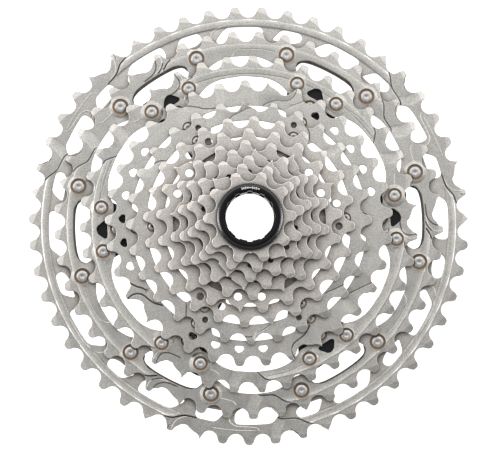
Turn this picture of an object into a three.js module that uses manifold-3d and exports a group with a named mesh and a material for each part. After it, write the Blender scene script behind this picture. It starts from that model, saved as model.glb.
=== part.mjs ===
// Twelve-sprocket bicycle cassette. Units are millimetres, +Z is the spin axis towards the lock ring.
// Angles are in degrees, counter-clockwise as seen from the lock ring.
import * as THREE from 'three';
import { mergeVertices } from 'three/addons/utils/BufferGeometryUtils.js';
import Module from 'manifold-3d';

const CHAIN_PITCH = 12.7;
const ROLLER_R = 3.97;
const TIP_ABOVE_PITCH = 1.2;
const PLANE_PITCH = 3.6;
const PLATE = 1.8;
const RIM_PLATE = 2.6;
const GAP = 0.3;
const BORE_SEGMENTS = 16;
const RIM_SEGMENTS = 36;

const FREEHUB_R = 16.6;
const END_BORE_R = 13.3;
const HUB_RING_R = 24.0;
const SPACER_R = 19.5;

const ARM_PHASE = 2.5;
const ARM_STEP = 60;
const OUTER_RIVET = { r: 82.5, phase: 17.5, step: 30 };
const INNER_RIVET = { r: 70.1, spread: 8.5 };
const MIDDLE_RIVET_R = 53.6;
const FRONT_RIVET_R = 45.4;
const BIG_SHANK_R = 1.9;
const BIG_HEAD_R = 2.7;
const SMALL_SHANK_R = 1.4;
const SMALL_HEAD_R = 2.1;
const HOLE_PLAY = 0.12;
const HOLE_SIDES = 6;
const RIVET_SEGMENTS = 8;
const HEAD_RISE = 0.5;
const TAIL_CLEAR = 0.3;
// On the 39-tooth sprocket a shifting ramp takes the place of this arm's hole
const RAMP_ARM = 4;

const CARRIER = { back: 1.0, hubR: 23.0, armFrom: 3.9, plateFrom: 5.7, plateTo: 6.9, tipR: 75.0 };
const LOCK = {
  flangeR: 15.8, boreR: 11.05, sleeveR: 12.7, sleeve: 5.0, flange: 2.4,
  notchR: 11.9, notchWidth: 3.2, notchDepth: 4.4, washer: 0.6, washerR: 15.2,
};

// Teeth, angle of the first tooth, and what the web looks like.
const SPROCKETS = [
  { teeth: 51, phase: 1.87 },
  { teeth: 45, phase: -0.4 },
  { teeth: 39, phase: 6.6 },
  { teeth: 33, phase: 3.4 },
  { teeth: 28, phase: 1.1 },
  { teeth: 24, phase: 12.0 },
  { teeth: 21, phase: 4.6 },
  { teeth: 18, phase: 12.9 },
  { teeth: 16, phase: 14.5 },
  { teeth: 14, phase: 13.7 },
  { teeth: 12, phase: 8.7 },
  { teeth: 10, phase: 1.8 },
];

const COLOURS = {
  nickel: 0xc6c3bd, black: 0x17181b, rivet: 0xd2d0cc, spacer: 0x8f8c86, lock: 0x1b1b1e,
};

const wasm = await Module();
wasm.setup();

const pitchRadius = (teeth) => CHAIN_PITCH / 2 / Math.sin(Math.PI / teeth);
const rootRadius = (teeth) => pitchRadius(teeth) - ROLLER_R;
const planeZ = (index) => index * PLANE_PITCH;
const armAngles = () => Array.from({ length: 6 }, (_, k) => ARM_PHASE + k * ARM_STEP);

function polar(angle, radius) {
  const t = THREE.MathUtils.degToRad(angle);
  return new THREE.Vector2(radius * Math.cos(t), radius * Math.sin(t));
}

function offsetBy(angle, radius, side) {
  const t = THREE.MathUtils.degToRad(angle);
  const p = polar(angle, radius);
  return new THREE.Vector2(p.x - side * Math.sin(t), p.y + side * Math.cos(t));
}

function arc(from, to, radius, steps) {
  return Array.from({ length: steps + 1 }, (_, i) => polar(from + (to - from) * i / steps, radius));
}

function circle(centre, radius, segments) {
  return Array.from({ length: segments }, (_, i) => {
    const t = 2 * Math.PI * i / segments;
    return new THREE.Vector2(centre.x + radius * Math.cos(t), centre.y + radius * Math.sin(t));
  });
}

const ringPoints = (radius, segments) => circle(new THREE.Vector2(0, 0), radius, segments);

function toothOutline({ teeth, phase }) {
  const rp = pitchRadius(teeth);
  const step = 360 / teeth;
  const tip = rp + TIP_ABOVE_PITCH;
  const points = [];
  for (let k = 0; k < teeth; k += 1) {
    const tooth = phase + k * step;
    points.push(offsetBy(tooth, tip, -0.9), offsetBy(tooth, tip, 0.9));
    const gap = tooth + step / 2;
    for (const swing of [-58, 0, 58]) {
      const t = THREE.MathUtils.degToRad(swing);
      points.push(offsetBy(gap, rp - ROLLER_R * Math.cos(t), ROLLER_R * Math.sin(t)));
    }
  }
  return points;
}

function extruded(outline, holes, from, to) {
  const shape = new THREE.Shape(outline);
  for (const hole of holes) shape.holes.push(new THREE.Path(hole));
  const geometry = new THREE.ExtrudeGeometry(shape, { depth: to - from, bevelEnabled: false });
  geometry.translate(0, 0, from);
  return geometry;
}

function toSolid(geometry) {
  const plain = new THREE.BufferGeometry();
  plain.setAttribute('position', geometry.getAttribute('position').clone());
  if (geometry.index) plain.setIndex(geometry.index.clone());
  const merged = mergeVertices(plain, 1e-4);
  return new wasm.Manifold(new wasm.Mesh({
    numProp: 3,
    vertProperties: new Float32Array(merged.getAttribute('position').array),
    triVerts: new Uint32Array(merged.index.array),
  }));
}

function toGeometry(solid) {
  const mesh = solid.getMesh();
  const geometry = new THREE.BufferGeometry();
  geometry.setAttribute('position', new THREE.BufferAttribute(new Float32Array(mesh.vertProperties), 3));
  geometry.setIndex(new THREE.BufferAttribute(new Uint32Array(mesh.triVerts), 1));
  return geometry;
}

function turned(profile, segments) {
  const geometry = new THREE.LatheGeometry(profile.map(([r, z]) => new THREE.Vector2(r, z)), segments);
  return geometry.rotateX(Math.PI / 2);
}

function tube(innerR, outerR, from, to, segments) {
  const profile = [[innerR, from], [outerR, from], [outerR, to], [innerR, to], [innerR, from]];
  return turned(profile, segments);
}

const group = new THREE.Group();
group.name = 'cassette';

function addPiece(name, geometry, colour, metalness = 0.9) {
  const material = new THREE.MeshStandardMaterial({ color: colour, metalness, roughness: 0.35 });
  const mesh = new THREE.Mesh(geometry, material);
  mesh.name = name;
  group.add(mesh);
}

// Rivet positions
const outerRivets = Array.from({ length: 12 }, (_, k) => (
  { angle: OUTER_RIVET.phase + k * OUTER_RIVET.step, r: OUTER_RIVET.r }));
const innerRivets = armAngles().flatMap((arm) => [-1, 1].map((side) => (
  { angle: arm + side * INNER_RIVET.spread, r: INNER_RIVET.r })));
const middleRivets = armAngles().map((arm) => ({ angle: arm, r: MIDDLE_RIVET_R }));
const frontRivets = armAngles().map((arm) => ({ angle: arm, r: FRONT_RIVET_R }));

// A hexagonal hole whose flats clear the round shank
function rivetHoles(rivets, shankR) {
  const cornerR = (shankR + HOLE_PLAY) / Math.cos(Math.PI / HOLE_SIDES);
  return rivets.map(({ angle, r }) => circle(polar(angle, r), cornerR, HOLE_SIDES));
}

const bore = (radius) => ringPoints(radius, BORE_SEGMENTS);

// Webs of the single sprockets
function window51(rivet) {
  const small = [
    polar(rivet - 2.9, 94.7), polar(rivet + 2.9, 94.7), polar(rivet + 5.1, 90.2),
    polar(rivet + 4.4, 89.2), polar(rivet - 1.3, 89.2), polar(rivet - 3.0, 90.6), polar(rivet - 3.6, 93.4),
  ];
  const large = [
    ...arc(rivet + 9.2, rivet + 19.4, 94.7, 2), polar(rivet + 22.6, 89.2),
    polar(rivet + 21.2, 87.0), polar(rivet + 11, 86.6), polar(rivet + 8.6, 88.4), polar(rivet + 8.2, 93.4),
  ];
  return [small, large];
}

function inner51() {
  return outerRivets.flatMap(({ angle }) => [
    polar(angle - 4.3, 79.4), polar(angle - 2.2, 76.8), polar(angle + 2.2, 76.8), polar(angle + 4.3, 79.4),
    polar(angle + 7, 82.2), polar(angle + 23, 82.2),
  ]);
}

function inner45() {
  return armAngles().flatMap((arm) => [
    polar(arm - 12.2, 70), polar(arm - 10.8, 65.2), polar(arm - 6.6, 64.2), polar(arm, 65.4),
    polar(arm + 6.6, 64.2), polar(arm + 10.8, 65.2), polar(arm + 12.2, 70), polar(arm + 12.6, 76.8),
    polar(arm + 16.6, 76.5), polar(arm + 19.4, 78.4), polar(arm + 24, 80.1), polar(arm + 30, 80.4),
    polar(arm + 36, 80.1), polar(arm + 40.6, 78.4), polar(arm + 43.4, 76.5), polar(arm + 47.4, 76.8),
  ]);
}

function windows45() {
  return armAngles().map((arm) => [
    ...arc(arm - 7.8, arm + 7.8, 83.2, 2), polar(arm + 9.9, 82.2), polar(arm + 11.1, 79.8),
    polar(arm + 10.2, 75.6), polar(arm + 8.6, 74.6), polar(arm, 74.2), polar(arm - 8.6, 74.6),
    polar(arm - 10.2, 75.6), polar(arm - 11.1, 79.8), polar(arm - 9.9, 82.2),
  ]);
}

function inner39() {
  return armAngles().flatMap((arm) => [
    polar(arm - 12.4, 66.2), polar(arm - 10.4, 64.4), polar(arm - 6.4, 64.4), polar(arm - 3.6, 61),
    polar(arm, 60), polar(arm + 3.6, 61), polar(arm + 6.4, 64.4), polar(arm + 10.4, 64.4),
    polar(arm + 12.4, 66.2), polar(arm + 16, 68.6), polar(arm + 21, 70.0), polar(arm + 30, 70.4),
    polar(arm + 39, 70.0), polar(arm + 44, 68.6),
  ]);
}

function beans39() {
  return armAngles().filter((_, k) => k !== RAMP_ARM).map((arm) => [
    polar(arm - 3.9, 68.0), polar(arm - 3.0, 66.9), polar(arm + 3.0, 66.9), polar(arm + 3.9, 68.2),
    polar(arm + 1.6, 71.6), polar(arm - 0.9, 72.2),
  ].reverse());
}

// A window between two arms that narrow from the rim to a waist kept down to the hub ring
function armWindows(outerR, halfWidth, waist) {
  const top = THREE.MathUtils.radToDeg(Math.asin(halfWidth / outerR));
  const footR = HUB_RING_R + 0.6;
  const neckR = outerR - 6.5;
  return armAngles().map((arm) => [
    ...arc(arm + top + 1, arm + ARM_STEP - top - 1, outerR, 2),
    polar(arm + ARM_STEP - top, outerR - 1.6), offsetBy(arm + ARM_STEP, neckR, -waist),
    offsetBy(arm + ARM_STEP, footR, -waist), offsetBy(arm, footR, waist),
    offsetBy(arm, neckR, waist), polar(arm + top, outerR - 1.6),
  ]);
}

function dropHoles(angles, r, size) {
  return angles.map((angle) => [
    offsetBy(angle, r - 0.7 * size, -0.8 * size), offsetBy(angle, r - 0.7 * size, 0.8 * size),
    offsetBy(angle, r + 0.1 * size, size), offsetBy(angle, r + 0.9 * size, 0),
    offsetBy(angle, r + 0.1 * size, -size),
  ]);
}

const roundHoles = (angles, r, radius) => angles.map((angle) => circle(polar(angle, r), radius, 6));
const times = (count, start, step) => Array.from({ length: count }, (_, k) => start + k * step);

function sectorWindows(centres, half, innerR, outerR) {
  return centres.map((centre) => [
    ...arc(centre - half, centre + half, outerR, 2), ...arc(centre + half, centre - half, innerR, 1),
  ]);
}

function webHoles(teeth) {
  switch (teeth) {
    case 51:
      return [inner51(), ...outerRivets.flatMap(({ angle }) => window51(angle)),
        ...rivetHoles(outerRivets, BIG_SHANK_R)];
    case 45:
      return [inner45(), ...windows45(), ...rivetHoles([...outerRivets, ...innerRivets], BIG_SHANK_R)];
    case 39:
      return [inner39(), ...beans39(), ...rivetHoles(innerRivets, BIG_SHANK_R)];
    case 33:
      return [bore(FREEHUB_R), ...armWindows(55.8, 8.4, 5.2), ...rivetHoles(middleRivets, SMALL_SHANK_R),
        ...dropHoles([...times(5, 14.3, 10.91), ...times(6, 145.2, 10.91), ...times(4, 243.4, 10.91)], 59.6, 2.1)];
    case 28:
      return [bore(FREEHUB_R), ...armWindows(48.4, 8.2, 5.2),
        ...rivetHoles([...middleRivets, ...frontRivets].filter(({ r }) => r < 50), SMALL_SHANK_R),
        ...roundHoles([65.4, 118.3, 245.9, 297.5], 50.4, 1.3)];
    case 24:
      return [bore(FREEHUB_R), ...armWindows(40.2, 7.6, 5.4),
        ...roundHoles([12, 117, 132, 237, 252, 357], 42.2, 1.8)];
    case 21:
      return [bore(FREEHUB_R), ...sectorWindows(armAngles(), 6.6, 30, 35.8),
        ...roundHoles([...times(3, 21.5, 120), ...times(3, 39.2, 120)], 36.2, 1.9)];
    case 18:
      return [bore(FREEHUB_R), ...sectorWindows(times(6, 55, 60), 22, 21.5, 29.5)];
    case 16:
      return [bore(FREEHUB_R), ...sectorWindows(times(6, 25, 60), 20, 21.5, 25.4)];
    case 14:
      return [bore(FREEHUB_R), ...roundHoles(times(14, 13.7, 360 / 14), 21.7, 1.3)];
    case 12:
      return [bore(FREEHUB_R)];
    default:
      return [bore(END_BORE_R)];
  }
}

// The three largest sprockets have a thicker rim and web behind thin teeth.
function rimmedSprocket(sprocket, z) {
  const root = rootRadius(sprocket.teeth);
  const ribR = root - 1.2;
  const holes = webHoles(sprocket.teeth);
  let web = toSolid(extruded(ringPoints(ribR, RIM_SEGMENTS), holes, z, z + RIM_PLATE));
  if (sprocket.teeth === 45) {
    web = web.subtract(toSolid(extruded(ringPoints(CARRIER.tipR + 1, RIM_SEGMENTS), [], z + PLATE, z + 9)));
  }
  const teeth = extruded(toothOutline(sprocket), [ringPoints(ribR - 1.0, RIM_SEGMENTS)], z, z + PLATE);
  return toGeometry(web.add(toSolid(teeth)));
}

function flatSprocket(sprocket, z) {
  return extruded(toothOutline(sprocket), webHoles(sprocket.teeth), z, z + PLATE);
}

SPROCKETS.forEach((sprocket, index) => {
  const z = planeZ(index);
  const geometry = index < 3 ? rimmedSprocket(sprocket, z) : flatSprocket(sprocket, z);
  addPiece(`sprocket_${sprocket.teeth}t`, geometry, COLOURS.nickel);
});

// Rivets: a shank through every joined plate and a head on the front
function rivetGeometry({ angle, r }, shankR, headR, from, face) {
  const head = face + 0.05;
  const profile = [[0, from], [shankR, from], [shankR, head], [headR, head], [headR * 0.75, head + HEAD_RISE],
    [0, head + HEAD_RISE]];
  const at = polar(angle, r);
  return turned(profile, RIVET_SEGMENTS).translate(at.x, at.y, 0);
}

function addRivets(label, rivets, shankR, headR, from, face) {
  rivets.forEach((rivet, k) => {
    const number = String(k + 1).padStart(2, '0');
    addPiece(`${label}_rivet_${number}`, rivetGeometry(rivet, shankR, headR, from, face), COLOURS.rivet);
  });
}

addRivets('outer', outerRivets, BIG_SHANK_R, BIG_HEAD_R, TAIL_CLEAR, planeZ(1) + RIM_PLATE);
addRivets('inner', innerRivets, BIG_SHANK_R, BIG_HEAD_R, planeZ(1) + TAIL_CLEAR, planeZ(2) + RIM_PLATE);
addRivets('middle', middleRivets, SMALL_SHANK_R, SMALL_HEAD_R, planeZ(3) + TAIL_CLEAR, planeZ(3) + PLATE);
addRivets('front', frontRivets, SMALL_SHANK_R, SMALL_HEAD_R, planeZ(4) + TAIL_CLEAR, planeZ(4) + PLATE);

// Carrier: a hub on the freehub and six arms between the 45- and 39-tooth sprockets
function armShape(arm, widths) {
  const left = widths.map(([r, half]) => offsetBy(arm, r, half));
  const right = widths.map(([r, half]) => offsetBy(arm, r, -half)).reverse();
  return [...right, ...left].reverse();
}

function carrierGeometry() {
  const { back, hubR, armFrom, plateFrom, plateTo, tipR } = CARRIER;
  const hubTop = planeZ(3) - GAP;
  let solid = toSolid(tube(FREEHUB_R, hubR, back, hubTop, BORE_SEGMENTS));
  for (const arm of armAngles()) {
    const rivets = rivetHoles(innerRivets.filter(({ angle }) => Math.abs(angle - arm) < 10), BIG_SHANK_R);
    const plate = armShape(arm, [[20, 7], [50, 6], [62, 12], [68, 15], [tipR - 2, 14.6], [tipR, 12.6]]);
    const rib = armShape(arm, [[20, 4.5], [59, 3]]);
    solid = solid.add(toSolid(extruded(plate, rivets, plateFrom, plateTo)));
    solid = solid.add(toSolid(extruded(rib, [], armFrom, plateFrom + 0.2)));
  }
  return toGeometry(solid);
}

addPiece('carrier', carrierGeometry(), COLOURS.black, 0.3);

// Spacers between neighbouring hub rings
for (let index = 3; index < 11; index += 1) {
  const name = `spacer_${SPROCKETS[index].teeth}_${SPROCKETS[index + 1].teeth}`;
  const innerR = index === 10 ? END_BORE_R + 1.0 : FREEHUB_R;
  const outerR = index === 10 ? END_BORE_R + 2.6 : SPACER_R;
  const from = planeZ(index) + PLATE + GAP;
  const to = planeZ(index + 1) - GAP;
  addPiece(name, tube(innerR, outerR, from, to, BORE_SEGMENTS), COLOURS.spacer);
}

// Lock ring and its washer
const washerZ = planeZ(11) + PLATE + GAP;
const flangeZ = washerZ + LOCK.washer + GAP;
addPiece('lock_washer', tube(END_BORE_R, LOCK.washerR, washerZ, washerZ + LOCK.washer, 24), COLOURS.spacer);

function lockRingGeometry() {
  const top = flangeZ + LOCK.flange;
  const profile = [[LOCK.boreR, flangeZ - LOCK.sleeve], [LOCK.sleeveR, flangeZ - LOCK.sleeve],
    [LOCK.sleeveR, flangeZ], [LOCK.flangeR, flangeZ], [LOCK.flangeR, top - 0.9], [LOCK.flangeR - 1.3, top],
    [LOCK.boreR, top], [LOCK.boreR, flangeZ - LOCK.sleeve]];
  let ring = toSolid(turned(profile, 24));
  for (let k = 0; k < 12; k += 1) {
    const notch = new THREE.BoxGeometry(2 * LOCK.notchR - 2 * LOCK.boreR + 0.8, LOCK.notchWidth, LOCK.notchDepth * 2);
    notch.translate(LOCK.boreR - 0.4, 0, top);
    notch.rotateZ(THREE.MathUtils.degToRad(30 * k));
    ring = ring.subtract(toSolid(notch));
  }
  return toGeometry(ring);
}

addPiece('lock_ring', lockRingGeometry(), COLOURS.lock, 0.4);

export default group;
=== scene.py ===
"""Looks for a twelve-sprocket bicycle cassette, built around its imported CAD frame."""

import math

import bpy
import numpy as np
from mathutils import Matrix, Vector
from mathutils.geometry import delaunay_2d_cdt


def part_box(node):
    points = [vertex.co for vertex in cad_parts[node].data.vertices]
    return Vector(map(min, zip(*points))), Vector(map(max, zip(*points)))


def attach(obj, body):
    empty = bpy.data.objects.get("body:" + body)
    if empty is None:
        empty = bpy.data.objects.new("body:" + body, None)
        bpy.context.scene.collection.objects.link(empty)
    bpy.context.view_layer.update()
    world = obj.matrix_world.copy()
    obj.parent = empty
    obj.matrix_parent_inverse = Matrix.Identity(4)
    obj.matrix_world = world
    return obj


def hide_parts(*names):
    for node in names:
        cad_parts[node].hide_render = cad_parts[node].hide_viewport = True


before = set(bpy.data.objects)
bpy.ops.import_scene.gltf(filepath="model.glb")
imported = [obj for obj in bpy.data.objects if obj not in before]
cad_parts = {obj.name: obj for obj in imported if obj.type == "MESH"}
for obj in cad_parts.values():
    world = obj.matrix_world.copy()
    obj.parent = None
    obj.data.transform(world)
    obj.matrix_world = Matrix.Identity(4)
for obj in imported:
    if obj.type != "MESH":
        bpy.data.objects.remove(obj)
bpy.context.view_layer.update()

MM = 0.001

# The chain and the plates, in millimetres, as the CAD model has them
CHAIN_PITCH = 12.7
ROLLER_R = 3.97
PLATE = 1.8
RIM_PLATE = 2.6
FREEHUB_R = 16.6
END_BORE_R = 13.3
HUB_RING_R = 24.0
ARM_PHASE = 2.5
ARM_STEP = 60
OUTER_RIVET = {"r": 82.5, "phase": 17.5, "step": 30}
INNER_RIVET = {"r": 70.1, "spread": 8.5}
# The lug where a shifting ramp takes the place of the bean-shaped hole
RAMP_ARM = 4

# Fine detail that only the looks have, in millimetres
UNDER_RIVET_R = 62.2
SPLINES = {"count": 23, "depth": 0.5}
CROWN_EASE = 0.22
EDGE_WIDTH = 0.22
EDGE_DROP = 0.13
BOSS_R = 3.6
BOSS_SLOPE = 1.8

# Painted light and shade beside a plain face: edges darker as shade on the large sprockets and lighter as
# highlights on the small ones, walls and ramp zones darker as shade, and the walls' shade painted brown
EDGE_TONE = 0.76
INNER_EDGE_TONE = 1.30
PAINTED_WALL_SHADE = 0.42
PAINTED_WALL_BROWN = 0.25
RAMP_SHADE = 0.12


# ---------------------------------------------------------------- plane geometry
# A point in the sprocket plane is a complex number, in millimetres.

def polar(angle, radius):
    return radius * np.exp(1j * np.radians(angle))


def offset_by(angle, radius, side):
    """The point at a radius on a spoke, moved sideways by so many millimetres, counter-clockwise."""
    return (radius + 1j * side) * np.exp(1j * np.radians(angle))


def around(angle, *places):
    """Points given as (degrees further round, radius) from a spoke."""
    return [polar(angle + turn, radius) for turn, radius in places]


def arc(start, stop, radius, steps):
    return list(polar(np.linspace(start, stop, steps + 1), radius))


def circle(centre, radius, steps):
    return list(centre + polar(np.arange(steps) * 360 / steps, radius))


def rounded(corners, radius, steps=4):
    """A closed outline with each corner replaced by a smooth bend."""
    points = []
    count = len(corners)
    for i, corner in enumerate(corners):
        before = corners[i - 1] - corner
        after = corners[(i + 1) % count] - corner
        start = corner + before * min(0.48, radius / max(abs(before), 1e-6))
        stop = corner + after * min(0.48, radius / max(abs(after), 1e-6))
        for t in np.linspace(0, 1, steps + 1):
            points.append((1 - t) ** 2 * start + 2 * t * (1 - t) * corner + t ** 2 * stop)
    return points


def spline(points, per_span=5):
    """A smooth curve through (angle, radius) points."""
    p = np.array([polar(a, r) for a, r in points])
    p = np.concatenate([[2 * p[0] - p[1]], p, [2 * p[-1] - p[-2]]])
    curve = []
    for i in range(1, len(p) - 2):
        for t in np.arange(per_span) / per_span:
            curve.append(0.5 * (2 * p[i] + (p[i + 1] - p[i - 1]) * t
                                + (2 * p[i - 1] - 5 * p[i] + 4 * p[i + 1] - p[i + 2]) * t ** 2
                                + (3 * p[i] - p[i - 1] - 3 * p[i + 1] + p[i + 2]) * t ** 3))
    curve.append(p[-2])
    return np.array(curve)


def shifted(curve, distance):
    """An open curve moved sideways, to its left for a positive distance."""
    along = np.gradient(curve)
    return curve + 1j * along / np.abs(along) * distance


def signed_distance(points, curve):
    """Distance to an open curve, positive on its left."""
    best = np.full(len(points), np.inf)
    signed = np.full(len(points), np.inf)
    for start, stop in zip(curve[:-1], curve[1:]):
        along = stop - start
        length = abs(along)
        local = (points - start) / along
        t = np.clip(local.real, 0, 1)
        gap = np.abs(points - (start + t * along))
        nearer = gap < best
        best = np.where(nearer, gap, best)
        signed = np.where(nearer, np.where(local.imag * length >= 0, gap, -gap), signed)
    return signed


# ---------------------------------------------------------------- teeth

# Outlines beside the two seats, as (sideways, above the pitch circle), clockwise flank first.
# A style's first and last numbers say how far the seat arcs rise, in degrees.
TOOTH_STYLES = {
    "normal": (78, [(-2.05, 0.0), (-1.5, 0.75), (-0.9, 1.15), (0.9, 1.2), (1.45, 0.85), (2.1, 0.1)], 78),
    "wide": (70, [(-2.3, 0.1), (-1.8, 0.9), (-1.2, 1.2), (1.2, 1.2), (1.7, 0.9), (2.2, 0.1)], 70),
    "fin": (20, [(-4.3, -3.3), (-1.8, -1.95), (0.1, -1.3), (1.2, -0.5), (1.75, 0.75), (2.1, 0.8),
                 (2.55, -0.9), (3.5, -2.9)], 25),
    "twisted": (60, [(-2.3, -0.9), (-1.7, 0.4), (-1.1, 1.1), (0.9, 1.1), (1.35, 0.3), (1.9, -1.2)], 55),
    "triangle": (50, [(-2.3, -1.2), (-1.1, 0.0), (-0.3, 0.9), (0.3, 0.9), (1.1, -0.1), (2.2, -1.2)], 50),
    "step": (15, [(-3.6, -3.5), (-2.7, -2.2), (-1.6, -1.0), (-1.0, 0.5), (-0.5, 1.1), (1.5, 1.2),
                  (2.1, 0.8), (2.6, -0.6), (3.0, -1.9)], 50),
}
# Where the tip facet starts: height at the middle, lean, and slope. Small sprockets have a shorter one.
SMALL_FACET = (-0.5, 0.40, 0.24)
FACETS = {
    "normal": (-1.7, 0.34, 0.26),
    "wide": (-1.2, 0.1, 0.22),
    "fin": (-0.9, 0.5, 0.30),
    "twisted": (-0.9, 0.0, 0.25),
    "triangle": (-1.9, 0.25, 0.5),
    "step": (-0.9, 0.2, 0.25),
}


def pitch_radius(teeth):
    return CHAIN_PITCH / 2 / math.sin(math.pi / teeth)


def tooth_style(sprocket, k):
    repeat = sprocket.get("repeat", sprocket["teeth"])
    return sprocket.get("styles", {}).get(k % repeat, "normal")


def tooth_angles(sprocket):
    """Each tooth's angle; the spacing drifts a little within each shifting zone."""
    teeth = sprocket["teeth"]
    repeat = sprocket.get("repeat", teeth)
    drift = sprocket.get("drift", 0)
    k = np.arange(teeth)
    return sprocket["phase"] + k * 360 / teeth + drift * ((k - 1) % repeat) / (repeat - 1)


def tooth_outline(sprocket):
    teeth = sprocket["teeth"]
    pitch_r = pitch_radius(teeth)
    angles = tooth_angles(sprocket)
    points = []
    for k in range(teeth):
        angle = angles[k]
        gap_before = (angles[k - 1] - (360 if k == 0 else 0) + angle) / 2
        gap_after = (angle + angles[(k + 1) % teeth] + (360 if k == teeth - 1 else 0)) / 2
        rise_start, crown, rise_stop = TOOTH_STYLES[tooth_style(sprocket, k)]
        for swing in np.linspace(0, rise_start, 6)[1:]:
            t = math.radians(swing)
            points.append(offset_by(gap_before, pitch_r - ROLLER_R * math.cos(t), ROLLER_R * math.sin(t)))
        points.extend(offset_by(angle, pitch_r + above, side) for side, above in smooth_crown(crown))
        for swing in np.linspace(rise_stop, 0, 6):
            t = math.radians(swing)
            points.append(offset_by(gap_after, pitch_r - ROLLER_R * math.cos(t), -ROLLER_R * math.sin(t)))
    return points


def smooth_crown(crown):
    """Two points for each inner corner of a tooth's crown."""
    smooth = [crown[0]]
    for (ax, ay), (bx, by), (cx, cy) in zip(crown[:-2], crown[1:-1], crown[2:]):
        smooth.append((bx + CROWN_EASE * (ax - bx), by + CROWN_EASE * (ay - by)))
        smooth.append((bx + CROWN_EASE * (cx - bx), by + CROWN_EASE * (cy - by)))
    smooth.append(crown[-1])
    return smooth


# ---------------------------------------------------------------- webs

def arms():
    return [ARM_PHASE + k * ARM_STEP for k in range(6)]


def outer_rivets():
    return [OUTER_RIVET["phase"] + k * OUTER_RIVET["step"] for k in range(12)]


def inner_rivets():
    return [arm + side * INNER_RIVET["spread"] for arm in arms() for side in (-1, 1)]


def windows_51():
    holes = []
    inner = []
    for a in outer_rivets():
        small = around(a, (-2.9, 94.7), (2.9, 94.7), (5.3, 89.6), (4.6, 88.9), (-1.3, 89.0), (-3.6, 91.0))
        large = arc(a + 8.4, a + 19.4, 94.7, 4)
        large += around(a, (22.9, 88.9), (21.0, 86.8), (11, 86.5), (8.3, 89))
        holes += [rounded(small, 2.0), rounded(large, 2.4)]
        inner += around(a, (-5.0, 81.5), (-4.0, 78.2), (-1.5, 76.6), (1.5, 76.6), (4.0, 78.2), (5.0, 81.5))
        inner += arc(a + 8, a + 22, 82.2, 5)
    return [rounded(inner, 2.5)] + holes


def windows_45():
    holes = []
    inner = []
    for a in arms():
        hole = arc(a - 7.8, a + 7.8, 83.2, 6)
        hole += around(a, (10.6, 81.4), (11.2, 78.8), (10.0, 75.2), (7.6, 74.4))
        hole += arc(a + 5, a - 5, 74.2, 3)
        hole += around(a, (-7.6, 74.4), (-10.0, 75.2), (-11.2, 78.8), (-10.6, 81.4))
        holes.append(rounded(hole, 2.4))
        inner += around(a, (-12.2, 70), (-10.8, 65.2), (-6.6, 64.2), (0, 65.4), (6.6, 64.2), (10.8, 65.2),
                        (12.2, 70), (12.6, 75.4), (16.4, 75.2), (19.4, 78.0), (24, 80.1), (30, 80.4),
                        (36, 80.1), (40.6, 78.0), (43.6, 75.2), (47.4, 75.4))
    return [rounded(inner, 3.0)] + holes


def windows_39():
    holes = []
    inner = []
    for k, a in enumerate(arms()):
        if k != RAMP_ARM:
            bean = around(a, (-0.9, 72.3), (1.6, 71.6), (3.9, 68.2), (3.0, 66.9), (-3.0, 66.9), (-3.9, 68.0))
            holes.append(rounded(bean, 1.6))
        inner += around(a, (-12.4, 66.2), (-10.4, 64.4), (-6.4, 64.4), (-3.6, 61), (0, 60), (3.6, 61),
                        (6.4, 64.4), (10.4, 64.4), (12.4, 66.2), (16, 68.6), (21, 70.0), (30, 70.4),
                        (39, 70.0), (44, 68.6))
    return [rounded(inner, 3.0)] + holes


def arm_windows(outer_r, half_width, waist):
    """Windows between six arms that narrow from the rim to a waist and keep it down to the hub ring."""
    top = math.degrees(math.asin(half_width / outer_r))
    foot_r = HUB_RING_R + 0.6
    neck_r = outer_r - 6.5
    holes = []
    for a in arms():
        b = a + ARM_STEP
        holes.append(rounded([*arc(a + top + 1, b - top - 1, outer_r, 8), polar(b - top, outer_r - 1.6),
                              offset_by(b, neck_r, -waist), offset_by(b, foot_r, -waist),
                              offset_by(a, foot_r, waist), offset_by(a, neck_r, waist),
                              polar(a + top, outer_r - 1.6)], 2.0))
    return holes


def drop_holes(angles, r, size):
    return [rounded([offset_by(a, r - 0.75 * size, -0.95 * size), offset_by(a, r - 0.75 * size, 0.95 * size),
                     offset_by(a, r + 0.15 * size, 1.02 * size), offset_by(a, r + 0.95 * size, 0),
                     offset_by(a, r + 0.15 * size, -1.02 * size)], 0.5 * size) for a in angles]


def sector_windows(centres, half, inner_r, outer_r):
    return [rounded([*arc(c - half, c + half, outer_r, 8), *arc(c + half, c - half, inner_r, 6)], 1.6)
            for c in centres]


def round_holes(angles, r, radius):
    return [circle(polar(a, r), radius, 20) for a in angles]


def times(count, start, step):
    return [start + k * step for k in range(count)]


def splined_bore(radius):
    """A round hole with spline teeth that reach inwards."""
    points = []
    pitch = 360 / SPLINES["count"]
    inner_r = radius - SPLINES["depth"]
    for k in range(SPLINES["count"]):
        a = k * pitch
        points += [polar(a, radius), polar(a + 0.42 * pitch, radius), polar(a + 0.52 * pitch, inner_r),
                   polar(a + 0.90 * pitch, inner_r)]
    return points


# ---------------------------------------------------------------- surface features
# A feature is a curve and its cross-section: (distance to the left, height, tone) from right to left. The
# tone is painted light and shade.

def seam(points, height=0.35, tail=3.0, dark=0.30):
    """A coined step that is deep on the curve's right and fades away from it, painted dark as shade in the
    step and lighter as a highlight along its top edge.
    """
    return {"curve": spline(points), "section": [
        (-tail, 0, 1.0), (-0.55, -height, 0.97), (-0.36, -height, dark), (-0.05, -height, dark),
        (0.12, 0, 1.18), (0.42, 0, 1.1), (0.6, 0, 1.0)]}


# A low ridge, painted lighter along its top as a highlight.
def ridge(points, height=0.12, tone=1.3, width=0.3):
    return {"curve": spline(points), "section": [
        (-2.5 * width, 0, 1.0), (-width, 0, 1.0), (0, height, tone), (width, 0, 1.0), (2.5 * width, 0, 0.93)]}


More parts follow.
